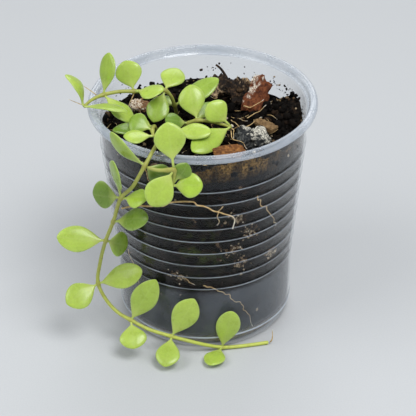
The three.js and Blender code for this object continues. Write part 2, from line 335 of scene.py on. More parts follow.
def haze_at(radius, z, is_inside):
    """How milky the sheet is at a point of its profile."""
    if z > BAND["z"] - 0.2:
        return HAZE["rim"]
    if z < FOOT["z"] + 0.7:
        return HAZE["foot_line"] if radius > FOOT["radius"] + 0.1 else HAZE["foot"]
    if is_inside:
        return HAZE["inside"]
    if z > TOP_RIB["z"] + RIB_HALF:
        return HAZE["band"]
    if z < LOW_RIB["z"] - RIB_HALF:
        return HAZE["panel"]
    # On the rib crests the milkiness is a painted highlight: thin pale lines that stand in for the glint of
    # the lamps.
    painted_highlight_on_crest = (rib_bump(z) / RIB_PROUD) ** 7
    return HAZE["between"] + painted_highlight_on_crest * (HAZE["rib"] - HAZE["between"])


first_inside = len(underside) + len(outside) + len(rim)
haze_steps = [haze_at(r, z, index >= first_inside) for index, (r, z) in enumerate(profile)]
cup_haze = np.concatenate([np.repeat(haze_steps, TURN_STEPS), [HAZE["foot"], HAZE["foot"]]])
print("haze marks:", len(cup_haze))

# %% Clear polypropylene
clear_finish, tree, coords = new_material("clear_polypropylene")
mark = add(tree, "Attribute", attribute_name="haze")
clouds = add(tree, "TexNoise", {"Scale": per_metre(14), "Detail": 3}, {"Vector": (coords, "Object")})
uneven = add(tree, "MapRange", {"From Min": 0.3, "From Max": 0.7, "To Min": 0.6, "To Max": 1.35},
             {"Value": (clouds, 0)})
milkiness = add(tree, "Math", None, {0: (mark, "Fac"), 1: (uneven, 0)}, operation="MULTIPLY")
milky = add(tree, "BsdfPrincipled", {
    "Base Color": linear("#B9C3CF"), "Roughness": 0.35, "IOR": 1.49, "Specular IOR Level": 0.3,
})
clear = add(tree, "BsdfTransparent", {"Color": (0.985, 0.99, 0.995, 1)})
sheet = add(tree, "MixShader", None, {"Fac": (milkiness, 0), 1: (clear, 0), 2: (milky, 0)})
facing = add(tree, "LayerWeight", {"Blend": 0.5})
edge = add(tree, "Math", {1: 3.5}, {0: (facing, "Facing")}, operation="POWER")
head_on = add(tree, "Math", {1: 0.06, 2: 0.002}, {0: (mark, "Fac")}, operation="MULTIPLY_ADD")
gloss_share = add(tree, "Math", {1: 0.65}, {0: (edge, 0), 2: (head_on, 0)}, operation="MULTIPLY_ADD")
gloss = add(tree, "BsdfGlossy", {"Color": (1, 1, 1, 1), "Roughness": 0.13})
plastic = add(tree, "MixShader", None, {"Fac": (gloss_share, 0), 1: (sheet, 0), 2: (gloss, 0)})
finish_material(clear_finish, tree, plastic)

new_piece("clear_cup", cup_points, cup_faces, clear_finish, {"haze": cup_haze}, ["cup"])
print("cup faces:", len(cup_faces))

# %% [markdown]
# ## The plug of potting mix
# The mix fills the cup to a finger's width under the rim. Through the clear wall it shows as dark peat and
# bark dust, with a paler dry ring in the foot and a browner fringe of fibre along its top. A mesh with
# points about a millimetre apart is pushed about by fractal noise, inwards only on the side, because the
# wall holds it, and it is heaped up a little where it was pressed against the front of the wall. The
# height of the top comes from the CAD solid by dropping a ray onto it, so that chips and stems still stand
# where they did.

# %% Mix helpers
MIX_GAP = 0.1      # between the mix and the wall, in mm
MIX_FLOOR = 2.35
MIX_TOP = 87.6     # where the top of the mix meets the wall
MIX_COLUMNS = 280
HEAP = {"bearing": 292, "spread": 42, "rise": 5.0}   # mix pushed up against the front of the wall
ABOVE_ALL = 0.12   # a height in metres over all of the mix, from which rays are dropped
cad_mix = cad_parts["potting_mix"].data
cad_faces = [list(face.vertices) for face in cad_mix.polygons]
mix_tree = BVHTree.FromPolygons([corner.co for corner in cad_mix.vertices], cad_faces)


def mix_height(x, y):
    """Height of the top of the mix, in metres, under a point in metres."""
    hit = mix_tree.ray_cast(Vector((x, y, ABOVE_ALL)), Vector((0, 0, -1)))[0]
    return hit.z if hit else mix_tree.find_nearest(Vector((x, y, MIX_TOP * MM)))[0].z


def rough(point, size_mm):
    """Fractal noise of about -1 to 1, whose largest lumps are size_mm wide."""
    return noise.fractal(Vector(point) * per_metre(size_mm), 1.0, 2.0, 4)


def smooth_step(low, high, value):
    """Rises smoothly from 0 at low to 1 at high."""
    share = np.clip((value - low) / (high - low), 0, 1)
    return share * share * (3 - 2 * share)


print("height of the mix at the middle, in mm:", round(mix_height(0, 0) / MM, 1))

# %% Mix surface
SIDE_SINK = 0.8    # how deep the hollows in the side are, in mm
TOP_LIFT = 0.9     # how high the unevenness of the top is
mix_turn = np.linspace(0, 2 * np.pi, MIX_COLUMNS, endpoint=False)
edge_radius = wall_radius(MIX_TOP) - WALL - MIX_GAP
side_levels = np.concatenate([[MIX_FLOOR, 3.2, 4.4], np.linspace(5.5, 86.2, 88)])
mix_rings = []
for z in side_levels:
    reach = wall_radius(max(z, FOOT["z"])) - WALL - MIX_GAP - 1.4 * (1 - smooth_step(2, 6, z))
    ring = []
    for angle in mix_turn:
        point = Vector((reach * math.cos(angle), reach * math.sin(angle), z)) * MM
        sink = max(0.0, 0.1 + 0.8 * rough(point, 6)) * SIDE_SINK
        ring.append(((reach - sink) * math.cos(angle) * MM, (reach - sink) * math.sin(angle) * MM, z * MM))
    mix_rings.append(ring)
for share in np.linspace(0.995, 0.02, 62):
    ring = []
    for angle in mix_turn:
        x, y = edge_radius * share * math.cos(angle) * MM, edge_radius * share * math.sin(angle) * MM
        lift = TOP_LIFT * rough((x, y, 0.0), 6) * min(1, (1 - share) * 12 + 0.3)
        heaped = HEAP["rise"] * math.exp(-((math.degrees(angle) - HEAP["bearing"]) / HEAP["spread"]) ** 2)
        lift += heaped * smooth_step(0.86, 0.97, share) * (1 + 0.5 * rough((x, y, 0.05), 4))
        ring.append((x, y, mix_height(x, y) + lift * MM))
    mix_rings.append(ring)
mix_points, mix_faces = skin(mix_rings, (0, 0, MIX_FLOOR * MM), (0, 0, mix_height(0, 0)))
print("mix points:", len(mix_points))

# %% Marks on the mix
FRINGE = {"from": 86.5, "to": 90.5, "bearing": -66, "spread": 38}   # heights in mm, bearings in degrees
DRY_FOOT = {"from": 5.2, "to": 7.4}
ALGAE = {"around": -64, "height": 52, "spread": 11}
height = mix_points[:, 2] / MM
bearing = np.degrees(np.arctan2(mix_points[:, 1], mix_points[:, 0]))
around = np.radians(bearing) * 40   # millimetres along a wall of about 40 mm radius
patchy = np.array([rough(p, 5) for p in mix_points])
on_side = smooth_step(edge_radius - 2, edge_radius - 1, np.hypot(mix_points[:, 0], mix_points[:, 1]) / MM)
fringe = smooth_step(FRINGE["from"], FRINGE["to"], height + 3.5 * patchy) * on_side
fringe *= np.exp(-((bearing - FRINGE["bearing"]) / FRINGE["spread"]) ** 2)
fringe *= 0.25 + 0.75 * smooth_step(-0.3, 0.25, np.array([rough(p, 3) for p in mix_points]))
dry_foot = 1 - smooth_step(DRY_FOOT["from"], DRY_FOOT["to"], height + 0.6 * patchy)
off_algae = ((around - ALGAE["around"]) ** 2 + (height - ALGAE["height"]) ** 2) / ALGAE["spread"] ** 2
algae = np.exp(-off_algae) * smooth_step(-0.1, 0.5, patchy)
print("dry foot points:", int((dry_foot > 0.5).sum()))

# %% [markdown]
# ## Peat and bark dust
# Wet peat is nearly black and matt, and tiny grains of brown fibre and pale grit show in it. Two noises
# of different grain mix the dark and the brown, and a cell pattern scatters grit. A third, much coarser
# noise says where the mix is loose, because fibre and grit show only there. The marks made above add the
# fibre fringe, the dry foot and a faint green film.

# %% Potting mix finish
mix_finish, tree, coords = new_material("damp_peat_mix")
lumps = add(tree, "TexNoise", {"Scale": per_metre(4.5), "Detail": 6, "Roughness": 0.65},
            {"Vector": (coords, "Object")})
grains = add(tree, "TexNoise", {"Scale": per_metre(0.9), "Detail": 4, "Roughness": 0.7},
             {"Vector": (coords, "Object")})
grit = add(tree, "TexVoronoi", {"Scale": per_metre(1.1)}, {"Vector": (coords, "Object")})
patches = add(tree, "TexNoise", {"Scale": per_metre(11), "Detail": 3, "Distortion": 0.4},
              {"Vector": (coords, "Object")})
peat = add(tree, "ValToRGB", None, {"Fac": (lumps, 0)}, [
    (0.38, "#070606"), (0.54, "#12100E"), (0.66, "#261D16"), (0.8, "#57432C"),
])
fibre = add(tree, "ValToRGB", None, {"Fac": (grains, 0)}, [
    (0.5, "#000000"), (0.62, "#2A1F14"), (0.75, "#7A5E3C"),
])
loose = add(tree, "MapRange", {"From Min": 0.47, "From Max": 0.66, "To Min": 0.02, "To Max": 0.5},
            {"Value": (patches, 0)})
soil = add(tree, "Mix", None, {0: (loose, 0), 6: (peat, 0), 7: (fibre, 0)},
           data_type="RGBA", blend_type="ADD")
specks = add(tree, "MapRange", {"From Min": 0.16, "From Max": 0.08, "To Min": 0, "To Max": 0.8},
             {"Value": (grit, 0)})
grit_share = add(tree, "Math", None, {0: (specks, 0), 1: (loose, 0)}, operation="MULTIPLY")
gritty = add(tree, "Mix", {7: linear("#8F8270")}, {0: (grit_share, 0), 6: (soil, 2)}, data_type="RGBA")
colour = gritty
MIX_TINTS = {
    "fringe": ("#3E2B10", "#CDA158"),
    "dry_foot": ("#8E7D66", "#C9BBA4"),
    "algae": ("#1E2413", "#55602A"),
}
for mark_name, (deep, bright) in MIX_TINTS.items():
    tint = add(tree, "ValToRGB", None, {"Fac": (grains, 0)}, [(0.4, deep), (0.66, bright)])
    mark = add(tree, "Attribute", attribute_name=mark_name)
    share = add(tree, "Math", {1: 0.8}, {0: (mark, "Fac")}, operation="MULTIPLY")
    colour = add(tree, "Mix", None, {0: (share, 0), 6: (colour, 2), 7: (tint, 0)}, data_type="RGBA")
bump = add(tree, "Bump", {"Strength": 0.6, "Distance": 0.7 * MM}, {"Height": (lumps, 0)})
earth = add(tree, "BsdfPrincipled", {"Roughness": 0.93, "Specular IOR Level": 0.08},
            {"Base Color": (colour, 2), "Normal": (bump, 0)})
finish_material(mix_finish, tree, earth)

mix_marks = {"fringe": fringe, "dry_foot": dry_foot, "algae": algae}
new_piece("peat_mix", mix_points, mix_faces, mix_finish, mix_marks, ["potting_mix"])

# %% [markdown]
# ## Crumbs and grit
# Loose mix is thousands of crumbs, and no noise on a smooth mesh gives their sharp little shadows. A small
# ball of 42 points is the pattern for them all: each copy is stretched, dented and turned by seeded random
# numbers, and all copies go into one mesh, which is quick to make and to render. A mark holds each
# crumb's own tone, from black peat to pale grit.

# %% Crumb pattern
import bmesh


def ball(detail):
    """Points and faces of a round ball of triangles, one unit in radius."""
    made = bmesh.new()
    bmesh.ops.create_icosphere(made, subdivisions=detail, radius=1)
    points = np.array([corner.co for corner in made.verts])
    faces = np.array([[corner.index for corner in face.verts] for face in made.faces])
    made.free()
    return points, faces


CRUMB_POINTS, CRUMB_FACES = ball(2)


def crumbs(places, sizes, tones, seed):
    """Points, faces and tones of many dented crumbs, one at each place, in metres."""
    draw = np.random.default_rng(seed)
    count, corners = len(places), len(CRUMB_POINTS)
    dents = 1 + draw.normal(0, 0.16, (count, corners, 1))
    stretch = draw.uniform(0.55, 1.25, (count, 1, 3))
    turned, _ = np.linalg.qr(draw.normal(size=(count, 3, 3)))
    local = CRUMB_POINTS[None] * dents * stretch
    points = np.einsum("nij,nkj->nki", turned, local) * np.asarray(sizes)[:, None, None] / 2
    points = points + np.asarray(places)[:, None, :]
    turned_in = np.linalg.det(turned) < 0
    order = np.where(turned_in[:, None, None], CRUMB_FACES[None, :, ::-1], CRUMB_FACES[None])
    faces = order + (np.arange(count) * corners)[:, None, None]
    return points.reshape(-1, 3), faces.reshape(-1, 3).tolist(), np.repeat(tones, corners)


print("crumb faces each:", len(CRUMB_FACES))

# %% Places for crumbs on the surface
SURFACE_CRUMBS = 2400
draw = np.random.default_rng(11)
spread_radius = edge_radius * np.sqrt(draw.uniform(0, 0.985, SURFACE_CRUMBS))
spread_turn = draw.uniform(0, 2 * np.pi, SURFACE_CRUMBS)
crumb_sizes = np.clip(draw.lognormal(0.1, 0.45, SURFACE_CRUMBS), 0.45, 3.4) * MM
crumb_places = np.column_stack([spread_radius * np.cos(spread_turn), spread_radius * np.sin(spread_turn),
                                np.zeros(SURFACE_CRUMBS)]) * MM
crumb_places[:, 2] = [mix_height(x, y) for x, y, _ in crumb_places]
crumb_places[:, 2] += crumb_sizes * draw.uniform(0.0, 0.45, SURFACE_CRUMBS) + 0.3 * MM
crumb_tones = np.clip(draw.beta(1.1, 5.0, SURFACE_CRUMBS), 0, 1)
print("crumb sizes in mm:", round(crumb_sizes.min() / MM, 2), "to", round(crumb_sizes.max() / MM, 2))

# %% [markdown]
# Crumbs are bark and peat that has dried on the outside. They are fully matt and flecked with fibre, so the
# eye knows them by their shadows and not by any shine. The tone mark runs from wet black through dry brown
# to the off-white of grit.

# %% Crumb finish
crumb_finish, tree, coords = new_material("crumbs_of_bark_and_peat")
tone = add(tree, "Attribute", attribute_name="tone")
fleck = add(tree, "TexNoise", {"Scale": per_metre(0.5), "Detail": 4, "Roughness": 0.7},
            {"Vector": (coords, "Object")})
varied = add(tree, "Math", {1: 0.35, 2: -0.17}, {0: (fleck, 0)}, operation="MULTIPLY_ADD")
shifted = add(tree, "Math", None, {0: (tone, "Fac"), 1: (varied, 0)}, operation="ADD")
crumb_colour = add(tree, "ValToRGB", None, {"Fac": (shifted, 0)}, [
    (0.0, "#080706"), (0.3, "#17120F"), (0.5, "#38281B"),
    (0.66, "#6B5842"), (0.82, "#A69478"), (1.0, "#E6DCC8"),
])
crumb_bump = add(tree, "Bump", {"Strength": 0.6, "Distance": 0.15 * MM}, {"Height": (fleck, 0)})
crumb_shader = add(tree, "BsdfPrincipled", {"Roughness": 0.9, "Specular IOR Level": 0.1},
                   {"Base Color": (crumb_colour, 0), "Normal": (crumb_bump, 0)})
finish_material(crumb_finish, tree, crumb_shader)

points, faces, tones = crumbs(crumb_places, crumb_sizes, crumb_tones, 12)
new_piece("surface_crumbs", points, faces, crumb_finish, {"tone": tones})
print("surface crumbs:", SURFACE_CRUMBS)

# %% [markdown]
# Crumbs that lie against the wall are pressed flat by it. Any point of theirs that would stand inside the
# plastic is moved straight back to its inner face. Most of these crumbs are dark and lie anywhere, and a
# few clusters of dry, pale brown ones show as blotches.

# %% Crumbs against the wall
def press_to_wall(points):
    """Moves points that stand in the plastic back to the inner face of the wall."""
    radius = np.hypot(points[:, 0], points[:, 1])
    limit = (wall_radius(points[:, 2] / MM) - WALL - 0.04) * MM
    share = np.minimum(1, limit / radius)
    return points * np.column_stack([share, share, np.ones(len(points))])


WALL_CRUMBS = 1100
BLOTCHES = [  # bearing in degrees and height in mm
    (-67, 42.8), (-43, 41.3), (-73, 50.9), (-71, 66.9), (-108, 37.1), (-61.5, 58.6), (60, 50), (150, 60),
]
BLOTCH_CRUMBS = 60
draw = np.random.default_rng(21)
levels = draw.uniform(7, 86, WALL_CRUMBS)
turns = draw.uniform(0, 2 * np.pi, WALL_CRUMBS)
sizes = np.clip(draw.lognormal(-0.1, 0.5, WALL_CRUMBS), 0.35, 2.6)
tones = draw.beta(1.2, 3.2, WALL_CRUMBS) * 0.95
for bearing_here, level_here in BLOTCHES:
    levels = np.append(levels, level_here + draw.normal(0, 1.7, BLOTCH_CRUMBS))
    turns = np.append(turns, np.radians(bearing_here + draw.normal(0, 3.2, BLOTCH_CRUMBS)))
    sizes = np.append(sizes, draw.uniform(0.3, 1.3, BLOTCH_CRUMBS))
    tones = np.append(tones, draw.uniform(0.35, 0.9, BLOTCH_CRUMBS))
reach = wall_radius(levels) - WALL - sizes * 0.12
wall_places = np.column_stack([reach * np.cos(turns), reach * np.sin(turns), levels]) * MM
points, faces, tones = crumbs(wall_places, sizes * MM, tones, 22)
new_piece("wall_crumbs", press_to_wall(points), faces, crumb_finish, {"tone": tones})
print("wall crumbs:", len(sizes))

# %% [markdown]
# Dirt also clings to the inside of the clear wall above the mix, where water has splashed it, and a few
# larger bits lie on top: charcoal, tan bark and white grains. These have places of their own.

# %% Splashed dirt and loose bits
SPLASHES = [  # bearing in degrees, height in mm, count
    (86, 92.5, 16), (53, 92, 26), (32, 91.5, 34), (12, 92, 18), (140, 91, 12),
]
draw = np.random.default_rng(31)
splash_places, splash_sizes = [], []
for bearing_here, level_here, count in SPLASHES:
    for _ in range(count):
        angle = math.radians(bearing_here + draw.normal(0, 6.5))
        level = level_here + abs(draw.normal(0, 2.2)) - 1.5
        size = float(np.clip(draw.lognormal(-0.7, 0.5), 0.2, 1.5))
        reach = wall_radius(level) - WALL - size * 0.3
        splash_places.append((reach * math.cos(angle) * MM, reach * math.sin(angle) * MM, level * MM))
        splash_sizes.append(size * MM)
points, faces, tones = crumbs(splash_places, splash_sizes, draw.uniform(0.1, 0.85, len(splash_places)), 32)
new_piece("splashed_dirt", press_to_wall(points), faces, crumb_finish, {"tone": tones})

LOOSE_BITS = [  # x, y, height over the mix and size in mm, tone
    (26.7, 7.2, 2.0, 5.5, 0.05), (24.9, 3.6, 1.6, 3.4, 0.1), (15.8, 18.9, 7.0, 2.6, 0.55),
    (33.2, 13.4, 0.9, 1.2, 0.75), (35.3, 11.0, 1.0, 1.3, 0.66), (38.0, 8.8, 0.9, 1.1, 0.62),
    (38.6, 3.4, 0.8, 1.0, 0.8), (36.0, 8.0, 1.0, 1.2, 0.5), (-14.3, 24.8, 1.6, 1.6, 1.0),
    (-15.4, 27.0, 1.4, 1.3, 1.0), (-0.4, 5.0, 2.0, 1.7, 1.0), (1.4, 3.6, 1.8, 1.2, 1.0),
    (11.8, -4.6, 3.0, 1.7, 1.0), (9.5, 2.0, 2.0, 1.4, 0.9), (20.4, -27.6, 2.2, 1.8, 0.95),
    (-6.0, 31.0, 1.0, 2.4, 0.3), (-20.0, 29.0, 1.0, 2.6, 0.5), (30.0, 20.0, 1.2, 3.6, 0.15),
    (-30.0, -20.0, 1.0, 3.0, 0.5), (2.0, 20.0, 1.6, 4.0, 0.12), (5.0, -36.0, 1.4, 2.6, 0.5),
    (21.0, 3.0, 1.6, 5.0, 0.04), (31.0, -4.0, 1.0, 3.4, 0.08), (12.0, 12.0, 1.6, 4.6, 0.06),
    (30.5, 12.5, 1.0, 3.6, 0.06), (20.5, -3.5, 1.6, 3.6, 0.1), (33.5, 3.0, 1.0, 3.0, 0.05),
]
bits = np.array(LOOSE_BITS)
bits[:, 2] += [mix_height(x * MM, y * MM) / MM for x, y in bits[:, :2]]
points, faces, tones = crumbs(bits[:, :3] * MM, bits[:, 3] * MM, bits[:, 4], 33)
new_piece("loose_bits", points, faces, crumb_finish, {"tone": tones})
print("splashes:", len(splash_places), "loose bits:", len(bits))

# %% [markdown]
# ## Bark chips and a crusted stone
# Bark breaks along its layers into slabs with ragged ends, and wood splits along its grain. The CAD lump
# gives each piece its place, size and three directions: the longest, the middle and the thinnest way
# through its points. A fine ball is made boxy in those directions, its outline is roughened, and fine
# ridges are pressed into it along the grain.

# %% Chip shapes
CHIP_POINTS, CHIP_FACES = ball(5)


def own_directions(points):
    """Centre of a cloud of points, its three directions from longest to thinnest, and its half sizes."""
    _, _, directions = np.linalg.svd(points - points.mean(0), full_matrices=False)
    if np.linalg.det(directions) < 0:
        directions[2] *= -1
    along = (points - points.mean(0)) @ directions.T
    centre = points.mean(0) + ((along.min(0) + along.max(0)) / 2) @ directions
    return centre, directions, (along.max(0) - along.min(0)) / 2


def broken_piece(node, finish, slot, ragged, ridges, seed, crust_side=None, crust_from=0.2, squareness=0.55):
    """A rough chip or stone in the place of a CAD lump, with a mark for its pale crust."""
    centre, directions, half = own_directions(cad_points(node))
    boxy = CHIP_POINTS / np.abs(CHIP_POINTS).max(1, keepdims=True) ** squareness
    boxy /= np.abs(boxy).max(0)
    shift = Vector((seed * 3.7, seed * 1.9, seed * 5.3))
    points, crust = [], []
    for corner in boxy:
        spot = Vector(corner * half / half[0])
        outline = 1 + ragged * noise.fractal(spot * 2.2 + shift, 1.0, 2.0, 4)
        grain = noise.fractal(Vector((spot.x * 2.5, spot.y * 13, spot.z * 16)) + shift, 0.8, 2.0, 3)
        local = corner * half * outline
        local = local * (1 + ridges * grain * np.array([0.35, 0.7, 1.6]))
        place = centre + local @ directions
        points.append(place)
        if crust_side is None:
            crust.append(0.0)
            continue
        towards = Vector((place - centre) / half[0]).dot(Vector(crust_side).normalized())
        crust.append(towards + 0.75 * noise.fractal(spot * 4 + shift, 1.0, 2.0, 3) - crust_from)
    marks = {"crust": smooth_step(0.0, 0.22, np.array(crust))}
    new_piece(node + "_fine", points, CHIP_FACES.tolist(), finish, marks, [node])


print("points on each chip:", len(CHIP_POINTS))

# %% [markdown]
# Bark is cork and lignin: matt, streaked along its grain, darker in the cracks. A white mineral crust from
# hard water sits on some pieces. One recipe makes each of the barks and the wood, from its own colours. The
# stone is porous, matt and crusted in the same way, so the recipe serves for it too, in greys.

# %% Bark, wood and stone finishes
def broken_finish(name, colours, grain_mm, crust_colour):
    """A matt, streaked material for a broken plant or stone piece, with a crust where its mark says."""
    material, tree, coords = new_material(name)
    streaks = add(tree, "TexNoise", {
        "Scale": per_metre(grain_mm), "Detail": 6, "Roughness": 0.7, "Distortion": 0.6,
    }, {"Vector": (coords, "Object")})
    specks = add(tree, "TexNoise", {"Scale": per_metre(0.45), "Detail": 3}, {"Vector": (coords, "Object")})
    body = add(tree, "ValToRGB", None, {"Fac": (streaks, 0)}, [
        (0.32, colours[0]), (0.5, colours[1]), (0.68, colours[2]),
    ])
    mark = add(tree, "Attribute", attribute_name="crust")
    ragged = add(tree, "MapRange", {"From Min": 0.38, "From Max": 0.6}, {"Value": (specks, 0)})
    share = add(tree, "Math", None, {0: (mark, "Fac"), 1: (ragged, 0)}, operation="MULTIPLY")
    crusted = add(tree, "Mix", {7: linear(crust_colour)}, {0: (share, 0), 6: (body, 0)}, data_type="RGBA")
    bump = add(tree, "Bump", {"Strength": 0.8, "Distance": 0.25 * MM}, {"Height": (streaks, 0)})
    shader = add(tree, "BsdfPrincipled", {"Roughness": 0.85, "Specular IOR Level": 0.3},
                 {"Base Color": (crusted, 2), "Normal": (bump, 0)})
    return finish_material(material, tree, shader)


red_bark = broken_finish("red_pine_bark", ("#32190F", "#69381F", "#8F5632"), 1.5, "#EDE4D2")
black_bark = broken_finish("charred_bark", ("#0A0807", "#1E1611", "#5A442E"), 1.8, "#C2A783")
pale_bark = broken_finish("weathered_bark", ("#3A281A", "#7A5636", "#A8825A"), 1.6, "#E9DECA")
orange_bark = broken_finish("orange_pine_bark", ("#3B2413", "#754A25", "#B07C42"), 2.0, "#D9B98A")
tan_wood = broken_finish("split_tan_wood", ("#4E3C26", "#7A6040", "#9A8058"), 1.3, "#DCCBAE")
grey_stone = broken_finish("crusted_stone", ("#0C0D0E", "#26292B", "#6E6F6B"), 1.8, "#E4E0D0")

# %% Place the chips
CHIPS = {  # finish, slot, raggedness, depth of the ridges, seed, crusted side, where its crust starts
    "red_bark_chip": (red_bark, "red_bark", 0.3, 0.2, 1, (-0.75, 0.1, 0.65), 0.42),
    "black_bark_chip": (black_bark, "dark_bark", 0.4, 0.26, 2, (0.5, 0.1, 0.8), 0.8),
    "pale_streaked_chip": (black_bark, "dark_bark", 0.35, 0.24, 3, (-0.3, -0.7, 0.1), 0.42),
    "tan_wood_chip": (tan_wood, "pale_wood", 0.14, 0.26, 4, None, 0, 0.85),
    "pale_left_chip": (pale_bark, "pale_wood", 0.34, 0.2, 5, (-0.7, -0.2, 0.7), 0.1),
    "orange_bark_chip": (orange_bark, "red_bark", 0.2, 0.12, 6),
    "speckled_stone": (grey_stone, "stone", 0.36, 0.12, 7, (0.6, 0.1, 0.8), 0.3),
}
for node, recipe in CHIPS.items():
    broken_piece(node, *recipe)
print("chips placed:", len(CHIPS))

# %% [markdown]
# ## Lines that bend
# Stems, roots and stalks are tubes along a smooth line. The line runs through a few given points and is
# cut at even steps. A ring of points is carried along it without twisting, each ring turning only as
# much as the line does, so the tube never pinches. The radius may change from ring to ring.

# %% Smooth route
def smooth_route(knots, step):
    """Points at even steps, about `step` apart, on a smooth line through the knots."""
    knots = np.asarray(knots, float)
    knots = np.vstack([2 * knots[0] - knots[1], knots, 2 * knots[-1] - knots[-2]])
    line = []
    for before, start, end, after in zip(knots, knots[1:], knots[2:], knots[3:]):
        near, here, far = [max(np.linalg.norm(b - a), 1e-9) ** 0.5
                           for a, b in ((before, start), (start, end), (end, after))]
        leave = ((start - before) / near - (end - before) / (near + here) + (end - start) / here) * here
        arrive = ((end - start) / here - (after - start) / (here + far) + (after - end) / far) * here
        for t in np.linspace(0, 1, 20, endpoint=False):
            line.append((2 * t ** 3 - 3 * t ** 2 + 1) * start + (t ** 3 - 2 * t ** 2 + t) * leave
                        + (3 * t ** 2 - 2 * t ** 3) * end + (t ** 3 - t ** 2) * arrive)
    line.append(knots[-2])
    line = np.array(line)
    run = np.concatenate([[0], np.cumsum(np.linalg.norm(np.diff(line, axis=0), axis=1))])
    even = np.linspace(0, run[-1], max(4, int(run[-1] / step)))
    return np.column_stack([np.interp(even, run, line[:, axis]) for axis in range(3)]), even


test_line, _ = smooth_route([(0, 0, 0), (5, 0, 2), (10, 0, 0)], 0.5)
print("points on an arch of 10 mm:", len(test_line))


# %% Tube along a line
def tube(line, radii, sides):
    """Points and faces of a closed tube round a line, with a radius for each of its points."""
    heading = np.gradient(line, axis=0)
    heading /= np.linalg.norm(heading, axis=1, keepdims=True)
    side = np.cross(heading[0], (0.3, 0.5, 0.8))
    angles = np.linspace(0, 2 * np.pi, sides, endpoint=False)
    rings = []
    for centre, ahead, radius in zip(line, heading, radii):
        side = side - ahead * side.dot(ahead)
        side = side / np.linalg.norm(side)
        other = np.cross(ahead, side)
        rings.append(centre + radius * (np.outer(np.cos(angles), side) + np.outer(np.sin(angles), other)))
    first = line[0] - heading[0] * radii[0] * 0.5
    last = line[-1] + heading[-1] * radii[-1] * 0.5
    return skin(rings, first, last)


print("faces on its tube:", len(tube(test_line, np.full(len(test_line), 0.3), 8)[1]))


# %% Join parts
def join(parts):
    """One list of points and faces, and its marks, from several."""
    points, faces, marks, count = [], [], {}, 0
    for part_points, part_faces, part_marks in parts:
        points.append(part_points)
        faces.extend([tuple(corner + count for corner in face) for face in part_faces])
        for mark, numbers in part_marks.items():
            marks.setdefault(mark, []).append(np.broadcast_to(numbers, (len(part_points),)))
        count += len(part_points)
    return np.vstack(points), faces, {mark: np.concatenate(numbers) for mark, numbers in marks.items()}


print("faces of two such tubes:", len(join([(*tube(test_line, np.full(len(test_line), 0.3), 8), {})] * 2)[1]))

# %% [markdown]
# ## Stems
# The plant has five stems. The longest one comes over the rim, hangs beside the cup and ends lying on the
# surface. A stem is a green tube about 1.6 mm thick that swells where each pair of leaves joins it. Its
# skin is alive and waxy: half glossy, faintly uneven, and a little light soaks into it. It turns brown in
# patches and at the joints as it ages. The routes repeat the CAD model's points, in millimetres.

# %% Stem routes
STEM_RADIUS = 0.8
STEM_ROUTES = {
    "trailing_stem": [
        (-12, -9, 89.7), (-12.5, -17, 96), (-15.5, -31, 103), (-18.5, -42, 105), (-23, -49, 100),
        (-28, -48, 90), (-33, -44, 82), (-36.8, -39, 67.5), (-40.6, -33.5, 54.5), (-43.6, -29.5, 41),
        (-45, -28, 29), (-41.3, -30.5, 21.3), (-36.5, -33, 17), (-31.5, -35.5, 15.2), (-25, -37.5, 12.2),
        (-14.5, -39.5, 9.3), (-6.5, -39.5, 6.5), (0, -38.6, 3.8), (6.6, -37.3, 1.5), (15, -36, 1),
        (26.2, -33.8, 1),
    ],
    "side_shoot": [
        (-21.6, -49.8, 99.7), (-18, -50.3, 98.8), (-14, -50.7, 99), (-11.6, -51, 99.3), (-12.6, -50.2, 91.5),
    ],
    "upper_left_shoot": [
        (-11, 9, 89), (-11.7, 6, 95), (-13.2, 4.5, 100.5), (-15.5, 4, 103.4), (-22, 3.5, 103.4),
        (-28.3, 2, 104.4), (-34, 0.5, 105.2), (-40.5, -1.5, 105), (-45, -5, 104.8), (-48.2, -9, 104),
    ],
    "right_shoot": [(-8, -4, 89.6), (-6, -7, 94), (-2.4, -8.5, 96.2), (4, -9, 95.8), (11.4, -11.2, 94.6)],
    "crown_shoot": [(-19, -5, 89.5), (-20, -11, 95), (-20.5, -18, 97.5), (-20, -24, 98.5)],
}
LEAF_NODES = sorted(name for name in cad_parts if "_leaf_" in name)
print("stems:", len(STEM_ROUTES), "leaves:", len(LEAF_NODES))

# %% [markdown]
# ## Where each leaf sits
# The CAD leaf says everything about its own place. Its thin end is the foot of the stalk, its other end the
# tip, and the widest ring between them gives the width, the way across and the way the blade faces, since
# a blade's edges lift towards its upper face. Reading this from the frame saves a long table of numbers.

# %% Read a leaf from the frame
WIDEST = 0.57
RING_SHARE = math.cos(math.radians(18))   # a ten-sided ring is this much narrower than its circle


def read_leaf(node):
    """Foot, length, width, bow and directions (side, up, axis) of a CAD leaf, in metres."""
    points = cad_points(node)
    middle = points.mean(0)
    lean = np.linalg.svd(points - middle, full_matrices=False)[2][0]
    along = (points - middle) @ lean
    share = (along - along.min()) / np.ptp(along)
    off_line = np.linalg.norm(points - middle - np.outer(along, lean), axis=1)
    if off_line[share < 0.2].max() > off_line[share > 0.8].max():
        lean, share = -lean, 1 - share
    foot = points[share * np.ptp(along) < 0.3 * MM].mean(0)
    tip = points[share.argmax()]
    axis = (tip - foot) / np.linalg.norm(tip - foot)
    length = np.linalg.norm(tip - foot)
    away = points - foot
    ring = away[np.abs(away @ axis / length - WIDEST) < 0.03]
    ring = ring - np.outer(ring @ axis, axis)
    across = np.linalg.svd(ring - ring.mean(0), full_matrices=False)[2][0]
    up = np.cross(axis, across)
    if ring.mean(0) @ up < 0:
        up = -up
    width = np.ptp(ring @ across) / RING_SHARE
    spine = ring[np.abs(ring @ across) < 0.1 * width]
    bow = (spine @ up).mean() / math.sin(math.pi * WIDEST)
    return {
        "foot": foot, "axis": axis, "up": up, "side": np.cross(up, axis),
        "length": length, "width": width, "bow": bow,
    }


